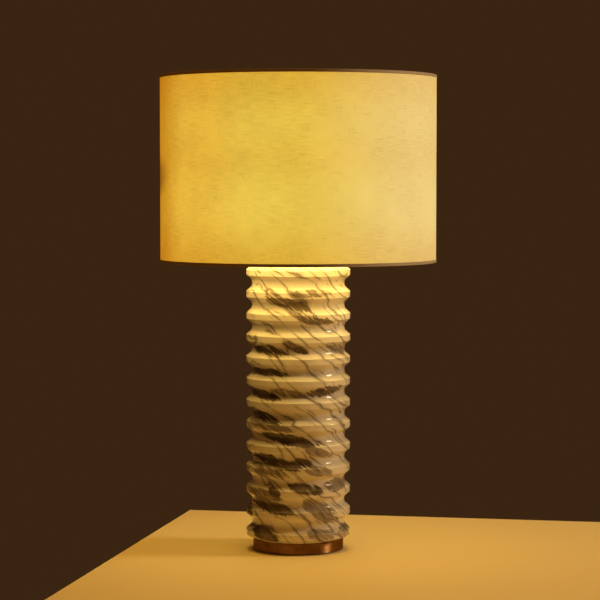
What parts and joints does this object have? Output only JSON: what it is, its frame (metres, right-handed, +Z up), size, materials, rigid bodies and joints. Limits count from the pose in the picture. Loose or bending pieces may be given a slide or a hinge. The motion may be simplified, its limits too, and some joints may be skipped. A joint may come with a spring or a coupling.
{
  "type": "table lamp",
  "caption": "Table lamp with a turned, ridged marble column on a round brass base disc, and a straight linen drum shade held by a harp and finial over a bulb socket with a turn switch.",
  "frame": {"origin": "centre of the underside of the base, on the surface that the lamp stands on", "axes": "+Z up along the column, -Y towards the front with the switch knob, +X to the right"},
  "size_m": [0.4075, 0.4076, 0.7005],
  "materials": {
    "felt": "matt brown felt",
    "aged_brass": "brushed and aged",
    "fitting_brass": "satin",
    "zinc_steel": "zinc plated",
    "gasket": "matt",
    "marble": "polished, white with grey brown diagonal veins",
    "bushing": "satin",
    "insulating_paper": "matt",
    "phenolic": "satin",
    "bulb_metal": "satin",
    "bulb_insulator": "gloss",
    "bulb_glass": "frosted, lit",
    "shade_wire": "white enamel",
    "shade_liner": "white translucent",
    "linen": "plain weave linen, lit from inside",
    "hem_linen": "linen tape"
  },
  "bodies": {
    "lamp_base": {"felt_pad": "felt", "base_disc": "aged_brass", "cord_bushing": "bushing", "base_gasket": "gasket", "base_washer": "zinc_steel", "lock_washer": "zinc_steel", "base_nut": "zinc_steel", "marble_column": "marble", "lamp_pipe": "zinc_steel", "column_cap": "fitting_brass", "neck_spacer": "fitting_brass", "harp_saddle": "fitting_brass", "harp": "fitting_brass", "socket_cap": "fitting_brass", "socket_shell": "fitting_brass", "socket_liner": "insulating_paper", "socket_core": "phenolic", "terminal_screws": "fitting_brass", "screw_shell": "bulb_metal", "center_contact": "fitting_brass"},
    "left_ferrule": {"harp_ferrule_left": "fitting_brass"},
    "right_ferrule": {"harp_ferrule_right": "fitting_brass"},
    "switch": {"switch_stem": "fitting_brass", "switch_knob": "phenolic"},
    "bulb": {"bulb_tip": "bulb_metal", "bulb_insulator": "bulb_insulator", "bulb_cap": "bulb_metal", "bulb_glass": "bulb_glass"},
    "shade": {"harp_stud": "fitting_brass", "spider": "shade_wire", "top_ring": "shade_wire", "bottom_ring": "shade_wire", "shade_liner": "shade_liner", "shade_fabric": "linen", "bottom_hem": "hem_linen", "top_hem": "hem_linen"},
    "finial_nut": {"finial": "aged_brass"}
  },
  "joints": [
    {"name": "shade_turn", "type": "hinge", "parent": "lamp_base", "child": "shade", "pos_m": [0, 0, 0.6788], "axis": [0, 0, 1], "continuous": true},
    {"name": "finial_turn", "type": "hinge", "parent": "shade", "child": "finial_nut", "pos_m": [0, 0, 0.6808], "axis": [0, 0, 1], "continuous": true},
    {"name": "switch_turn", "type": "hinge", "parent": "lamp_base", "child": "switch", "pos_m": [0, -0.015, 0.4681], "axis": [0, -1, 0], "continuous": true},
    {"name": "bulb_turn", "type": "hinge", "parent": "lamp_base", "child": "bulb", "pos_m": [0, 0, 0.49], "axis": [0, 0, 1], "continuous": true},
    {"name": "left_ferrule_lift", "type": "slide", "parent": "lamp_base", "child": "left_ferrule", "axis": [0, 0, 1], "range_m": [0, 0.012]},
    {"name": "right_ferrule_lift", "type": "slide", "parent": "lamp_base", "child": "right_ferrule", "axis": [0, 0, 1], "range_m": [0, 0.012]}
  ]
}
